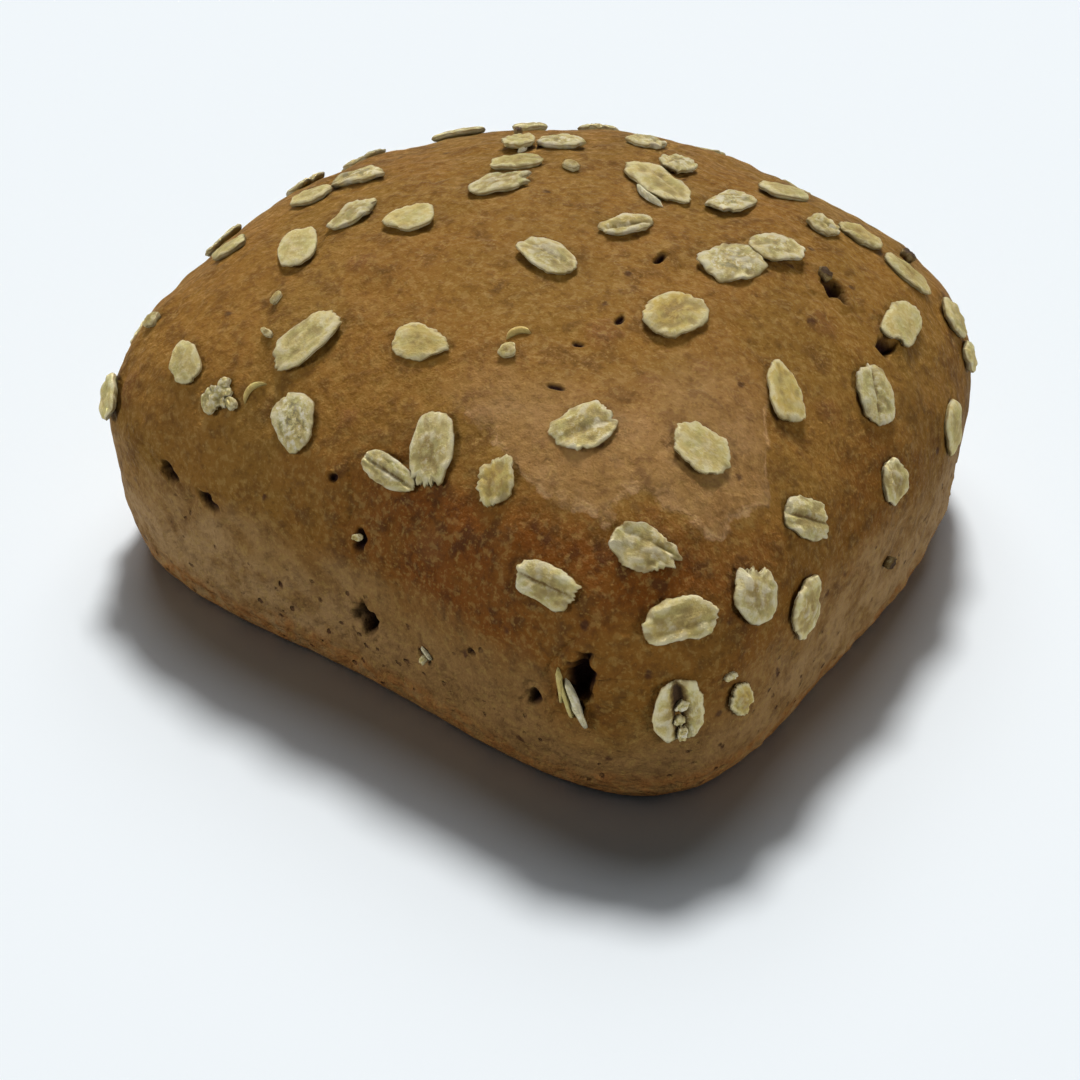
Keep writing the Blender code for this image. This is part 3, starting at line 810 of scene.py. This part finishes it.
def add_object(name, data):
    thing = bpy.data.objects.new(name, data)
    bpy.context.scene.collection.objects.link(thing)
    return thing


def add_piece(name, shape, material):
    """A piece of the roll's crust, made from a shape that is freed."""
    mesh = bpy.data.meshes.new(name)
    bmesh.ops.recalc_face_normals(shape, faces=shape.faces[:])
    bmesh.ops.triangulate(shape, faces=[face for face in shape.faces if len(face.verts) > 4])
    shape.to_mesh(mesh)
    shape.free()
    mesh.shade_smooth()
    mesh.materials.append(material)
    piece = add_object(name, mesh)
    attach(piece, "root")
    return piece


# Materials

class Nodes:
    """Short calls that add shader nodes and link them."""

    def __init__(self, name):
        self.material = bpy.data.materials.new(name)
        self.material.use_nodes = True
        self.tree = self.material.node_tree
        self.shader = self.tree.nodes["Principled BSDF"]
        self.place = self.new("TexCoord").outputs["Object"]

    def new(self, kind):
        return self.tree.nodes.new("ShaderNode" + kind)

    def put(self, value, socket):
        """Links a socket's value in, or sets a number or colour."""
        if isinstance(value, bpy.types.NodeSocket):
            self.tree.links.new(value, socket)
        elif isinstance(value, tuple) and len(value) == 3 and socket.type == "RGBA":
            socket.default_value = value + (1.0,)
        else:
            socket.default_value = value

    def attribute(self, name, output="Fac"):
        node = self.new("Attribute")
        node.attribute_name = name
        return node.outputs[output]

    def noise(self, size_mm, detail=3.0, roughness=0.55, place=None):
        """Noise whose lumps are about size_mm wide, from 0 to 1."""
        node = self.new("TexNoise")
        self.put(place or self.place, node.inputs["Vector"])
        node.inputs["Scale"].default_value = 1 / (size_mm * MM)
        node.inputs["Detail"].default_value = detail
        node.inputs["Roughness"].default_value = roughness
        return node.outputs["Fac"]

    def jittered(self, size_mm, reach_mm):
        """The place on the piece, thrown about so that shapes drawn from it have ragged outlines."""
        wander = self.new("TexNoise")
        self.put(self.place, wander.inputs["Vector"])
        wander.inputs["Scale"].default_value = 1 / (size_mm * MM)
        wander.inputs["Detail"].default_value = 3.0
        mover = self.new("VectorMath")
        mover.operation = "MULTIPLY_ADD"
        self.put(wander.outputs["Color"], mover.inputs[0])
        mover.inputs[1].default_value = (reach_mm * MM,) * 3
        self.put(self.place, mover.inputs[2])
        return mover.outputs["Vector"]

    def scaled(self, place, scale):
        """The place stretched by a factor along each axis."""
        node = self.new("Mapping")
        self.put(place, node.inputs["Vector"])
        node.inputs["Scale"].default_value = scale
        return node.outputs["Vector"]

    def split(self, vector):
        node = self.new("SeparateXYZ")
        self.put(vector, node.inputs[0])
        return node.outputs[0], node.outputs[1], node.outputs[2]

    def cells(self, size_mm, place=None):
        """Distance from the nearest of points about size_mm apart, as a share of that distance."""
        node = self.new("TexVoronoi")
        self.put(place or self.place, node.inputs["Vector"])
        node.inputs["Scale"].default_value = 1 / (size_mm * MM)
        return node.outputs["Distance"]

    def ramp(self, value, low, high, start=0.0, end=1.0):
        """Smooth change from start to end as value goes from low to high."""
        node = self.new("MapRange")
        node.interpolation_type = "SMOOTHSTEP"
        for socket, number in zip(node.inputs, (value, low, high, start, end)):
            self.put(number, socket)
        return node.outputs["Result"]

    def math(self, operation, one, two):
        node = self.new("Math")
        node.operation = operation
        self.put(one, node.inputs[0])
        self.put(two, node.inputs[1])
        return node.outputs[0]

    def times(self, one, two):
        return self.math("MULTIPLY", one, two)

    def mix(self, share, one, two):
        """Colour one where share is 0 and colour two where it is 1."""
        node = self.new("Mix")
        node.data_type = "RGBA"
        self.put(share, node.inputs["Factor"])
        self.put(one, node.inputs["A"])
        self.put(two, node.inputs["B"])
        return node.outputs["Result"]

    def bump(self, height, depth_mm, under=None):
        node = self.new("Bump")
        node.inputs["Distance"].default_value = depth_mm * MM
        self.put(height, node.inputs["Height"])
        if under:
            self.put(under, node.inputs["Normal"])
        return node.outputs["Normal"]

    def finish(self, colour, roughness, normal, specular):
        self.put(colour, self.shader.inputs["Base Color"])
        self.put(roughness, self.shader.inputs["Roughness"])
        self.put(normal, self.shader.inputs["Normal"])
        self.shader.inputs["Specular IOR Level"].default_value = specular
        return self.material


def crust_material():
    """Baked crust: olive tan dome, dark band and pale porous wall, with mottling, bran and bubbles."""
    nodes = Nodes("baked_crust")
    band, wall, foot = nodes.attribute("band"), nodes.attribute("wall"), nodes.attribute("foot")
    front, hole = nodes.attribute("front"), nodes.attribute("hole")
    skin_up, skin_in = nodes.attribute("skin_up"), nodes.attribute("skin_in")
    broad = nodes.noise(14.0)
    middle = nodes.noise(4.2, detail=5.0, roughness=0.6)
    blots = nodes.noise(2.2, detail=4.0, roughness=0.6)
    fine = nodes.noise(0.95, detail=2.0, roughness=0.6)
    grit = nodes.noise(0.42, detail=1.0, roughness=0.6)
    loose = nodes.jittered(1.2, 0.9)

    colour = nodes.mix(nodes.ramp(broad, 0.38, 0.62), DOME, DOME_OLIVE)
    colour = nodes.mix(nodes.ramp(middle, 0.50, 0.66, 0.0, 0.75), colour, DOME_DEEP)
    # The dark band: partly darker crust, partly painted shade on the sides turned from the key light
    banded = nodes.times(band, nodes.ramp(middle, 0.3, 0.55, 0.75, 1.0))
    colour = nodes.mix(banded, colour, nodes.mix(nodes.ramp(blots, 0.42, 0.64), BAND, BAND_DEEP))
    walled = nodes.mix(front, WALL, WALL_FRONT)
    walled = nodes.mix(nodes.ramp(middle, 0.42, 0.66), walled, WALL_DEEP)
    colour = nodes.mix(wall, colour, walled)
    reddened = nodes.times(nodes.attribute("blister"), nodes.ramp(fine, 0.3, 0.6, 0.3, 0.6))
    colour = nodes.mix(reddened, colour, BLISTER)
    edge = nodes.math("ADD", skin_up, nodes.ramp(fine, 0.3, 0.7, -0.5, 0.5))
    skin = nodes.times(nodes.ramp(edge, -0.3, 0.4), skin_in)
    colour = nodes.mix(nodes.times(skin, nodes.ramp(middle, 0.3, 0.6, 0.75, 0.35)), colour, SKIN)
    skin_line = nodes.ramp(nodes.math("ABSOLUTE", edge, 0.0), 0.2, 1.2, 1.0, 0.0)
    skin_line = nodes.times(skin_line, skin_in)
    skin_line = nodes.times(skin_line, nodes.ramp(blots, 0.40, 0.55, 0.8, 0.2))
    colour = nodes.mix(skin_line, colour, SKIN_LINE)
    colour = nodes.mix(nodes.times(foot, nodes.ramp(blots, 0.35, 0.6)), colour, FOOT)
    darker = nodes.mix(0.55, colour, BRAN)
    colour = nodes.mix(nodes.ramp(blots, 0.52, 0.68, 0.0, 0.6), colour, darker)
    colour = nodes.mix(nodes.ramp(fine, 0.54, 0.70, 0.0, 0.5), colour, darker)
    lighter = nodes.mix(0.5, colour, SPECK)
    colour = nodes.mix(nodes.ramp(fine, 0.48, 0.34, 0.0, 0.6), colour, lighter)
    colour = nodes.mix(nodes.ramp(grit, 0.58, 0.74, 0.0, 0.35), colour, SPECK)
    bran = nodes.ramp(nodes.cells(5.2, loose), 0.14, 0.06)
    bran = nodes.times(bran, nodes.ramp(middle, 0.44, 0.54, 0.0, 0.8))
    colour = nodes.mix(bran, colour, BRAN)
    # Pores, most on the wall, are painted dark: painted shade in them
    pores = nodes.ramp(nodes.cells(2.3, loose), 0.20, 0.10)
    pores = nodes.times(pores, nodes.ramp(wall, 0.2, 0.9, 0.1, 1.0))
    pores = nodes.times(pores, nodes.ramp(blots, 0.40, 0.55))
    colour = nodes.mix(nodes.times(pores, 0.8), colour, BRAN)
    # Painted shade darkens the inside of each hole
    colour = nodes.mix(hole, colour, PAINTED_HOLE_SHADE)

    normal = nodes.bump(middle, 0.6)
    normal = nodes.bump(skin, 0.05, normal)
    normal = nodes.bump(blots, 0.45, normal)
    normal = nodes.bump(fine, 0.18, normal)
    normal = nodes.bump(grit, 0.055, normal)
    normal = nodes.bump(nodes.times(pores, -1.0), 0.25, normal)
    return nodes.finish(colour, nodes.ramp(fine, 0.3, 0.7, 0.65, 0.85), normal, CRUST_SPECULAR)


def oat_material():
    """Rolled oat: straw, browner in the middle, with white starch, a pale rim and lengthwise fibres."""
    nodes = Nodes("rolled_oat")
    place = nodes.attribute("flake_place", "Vector")
    rim, dark, relief = nodes.attribute("rim"), nodes.attribute("dark"), nodes.attribute("relief")
    brown, white, yellow = nodes.split(nodes.attribute("tone", "Vector"))
    even = nodes.scaled(place, (MM, MM, MM))
    fibres = nodes.noise(0.50, detail=3.0, place=nodes.scaled(place, (0.25 * MM, 1.3 * MM, MM)))
    blotches = nodes.noise(2.4, detail=4.0, roughness=0.6, place=even)
    stretched = nodes.scaled(place, (0.85 * MM, 1.1 * MM, 1.7 * MM))
    mottles = nodes.noise(1.1, detail=4.0, roughness=0.7, place=stretched)
    starch = nodes.noise(1.0, detail=4.0, roughness=0.7, place=nodes.scaled(place, (MM, MM, 3.1 * MM)))

    colour = nodes.mix(nodes.ramp(blotches, 0.35, 0.65), STRAW, STRAW_GREEN)
    yellowed = nodes.times(yellow, nodes.ramp(blotches, 0.70, 0.35, 0.3, 1.0))
    colour = nodes.mix(yellowed, colour, STRAW_YELLOW)
    ragged_rim = nodes.math("ADD", rim, nodes.ramp(mottles, 0.3, 0.7, -0.18, 0.18))
    inner = nodes.ramp(ragged_rim, 0.40, 0.92, 1.0, 0.0)
    browned = nodes.times(inner, nodes.ramp(mottles, 0.38, 0.62, 0.25, 1.0))
    colour = nodes.mix(nodes.times(browned, brown), colour, OAT_BROWN)
    greyed = nodes.times(nodes.ramp(starch, 0.54, 0.40), white)
    colour = nodes.mix(nodes.times(greyed, inner), colour, OAT_GREY)
    whitened = nodes.times(nodes.ramp(starch, 0.50, 0.64), white)
    colour = nodes.mix(whitened, colour, OAT_WHITE)
    pale_rim = nodes.mix(0.45, STRAW, OAT_WHITE)
    colour = nodes.mix(nodes.ramp(ragged_rim, 0.70, 1.0, 0.0, 0.7), colour, pale_rim)
    colour = nodes.mix(nodes.ramp(rim, 0.96, 1.0, 0.0, 0.8), colour, OAT_BROWN)
    colour = nodes.mix(nodes.ramp(fibres, 0.54, 0.72, 0.0, 0.15), colour, nodes.mix(0.5, colour, OAT_BROWN))
    # Painted shade in the wrinkles' hollows, which are also a little browner
    painted_hollow_shade = nodes.mix(0.4, OAT_BROWN, OAT_GREY)
    colour = nodes.mix(nodes.ramp(relief, -0.05, -0.60, 0.0, 0.6), colour, painted_hollow_shade)
    # Painted highlight: the wrinkles' raised ridges are whitened, more on the whiter flakes and the husks
    whiter = nodes.ramp(white, 0.0, 0.6, 0.3, 1.0)
    painted_ridge_highlight = nodes.times(nodes.ramp(relief, 0.05, 0.60, 0.0, 0.5), whiter)
    colour = nodes.mix(painted_ridge_highlight, colour, OAT_WHITE)
    # Flakes high on the dome darkened: partly toast, partly painted shade
    colour = nodes.mix(nodes.times(nodes.attribute("toast_and_shade"), TOAST_AND_SHADE_SHARE), colour, TOAST_AND_SHADE)
    # Painted shade in each flake's crease, darkest in its middle; the dark bits take their own dark colour
    # from it
    crease_shade_and_bit_dark = nodes.math("ADD", dark, nodes.ramp(starch, 0.3, 0.7, 0.2, -0.2))
    crease_shade_and_bit_dark_edge = nodes.mix(0.6, OAT_BROWN, OAT_DARK)
    colour = nodes.mix(nodes.ramp(crease_shade_and_bit_dark, 0.30, 0.95, 0.0, 0.95), colour, crease_shade_and_bit_dark_edge)
    colour = nodes.mix(nodes.ramp(crease_shade_and_bit_dark, 0.90, 1.30, 0.0, 0.95), colour, OAT_DARK)

    normal = nodes.bump(fibres, 0.08)
    normal = nodes.bump(mottles, 0.26, normal)
    normal = nodes.bump(starch, 0.20, normal)
    return nodes.finish(colour, nodes.ramp(starch, 0.3, 0.7, 0.65, 0.85), normal, OAT_SPECULAR)


# Floor, lights and camera

def plain_material(name, colour, roughness):
    material = bpy.data.materials.new(name)
    material.use_nodes = True
    shader = material.node_tree.nodes["Principled BSDF"]
    shader.inputs["Base Color"].default_value = colour + (1.0,)
    shader.inputs["Roughness"].default_value = roughness
    shader.inputs["Specular IOR Level"].default_value = 0.0
    return material


def build_floor():
    """A wide plain floor that isn't part of the roll."""
    shape = bmesh.new()
    bmesh.ops.create_grid(shape, x_segments=1, y_segments=1, size=FLOOR_HALF)
    mesh = bpy.data.meshes.new("floor")
    shape.to_mesh(mesh)
    shape.free()
    mesh.materials.append(plain_material("pale_floor", FLOOR_COLOUR, 1.0))
    add_object("floor", mesh)


def aim(thing, target):
    thing.rotation_euler = (target - thing.location).to_track_quat("-Z", "Y").to_euler()


def add_light(name, bearing, rise, distance, size, power, colour):
    """A round soft light seen from the roll at a bearing and a height in degrees."""
    data = bpy.data.lights.new(name, "AREA")
    data.shape = "DISK"
    data.size = size
    data.energy = power
    data.color = colour
    light = add_object(name, data)
    around, up = math.radians(bearing), math.radians(rise)
    towards = Vector((math.cos(around) * math.cos(up), math.sin(around) * math.cos(up), math.sin(up)))
    light.location = LIT_POINT + towards * distance
    aim(light, LIT_POINT)
    return light


def build_camera():
    data = bpy.data.cameras.new("camera")
    data.lens = CAMERA_LENS
    data.sensor_width = SENSOR_WIDTH
    data.clip_start = CAMERA_NEAREST
    camera = add_object("camera", data)
    camera.location = CAMERA_EYE
    aim(camera, CAMERA_AIM)
    bpy.context.scene.camera = camera


def build_world():
    """A faint bluish sky that looks pale to the camera."""
    world = bpy.data.worlds.new("studio")
    world.use_nodes = True
    nodes, links = world.node_tree.nodes, world.node_tree.links
    faint = nodes["Background"]
    faint.inputs["Color"].default_value = SKY_COLOUR + (1.0,)
    faint.inputs["Strength"].default_value = SKY_STRENGTH
    # Over the floor's edge, which only low views see, the sky looks as pale as the floor
    pale = nodes.new("ShaderNodeBackground")
    pale.inputs["Color"].default_value = BACKDROP_COLOUR + (1.0,)
    chosen = nodes.new("ShaderNodeMixShader")
    links.new(nodes.new("ShaderNodeLightPath").outputs["Is Camera Ray"], chosen.inputs["Fac"])
    links.new(faint.outputs["Background"], chosen.inputs[1])
    links.new(pale.outputs["Background"], chosen.inputs[2])
    links.new(chosen.outputs["Shader"], nodes["World Output"].inputs["Surface"])
    bpy.context.scene.world = world


def main():
    bpy.context.scene.view_settings.view_transform = "Standard"
    tree = crust_tree()
    crust = build_crust(tree)
    oat = oat_material()
    pieces = [crust, build_flakes(tree, oat), build_bits(tree, oat), build_husks(tree, oat)]
    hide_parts("bread_roll")

    build_floor()
    build_world()
    for name, bearing, rise, size, power, colour in FAR_LIGHTS:
        add_light(name, bearing, rise, FAR_DISTANCE, size, power, colour)
    roll_alone = bpy.data.collections.new("lit_by_fills")
    for piece in pieces:
        roll_alone.objects.link(piece)
    for name, bearing, rise, size, power in FILLS:
        light = add_light(name, bearing, rise, NEAR_DISTANCE, size, power, FILL_COLOUR)
        light.light_linking.receiver_collection = roll_alone
    build_camera()


main()
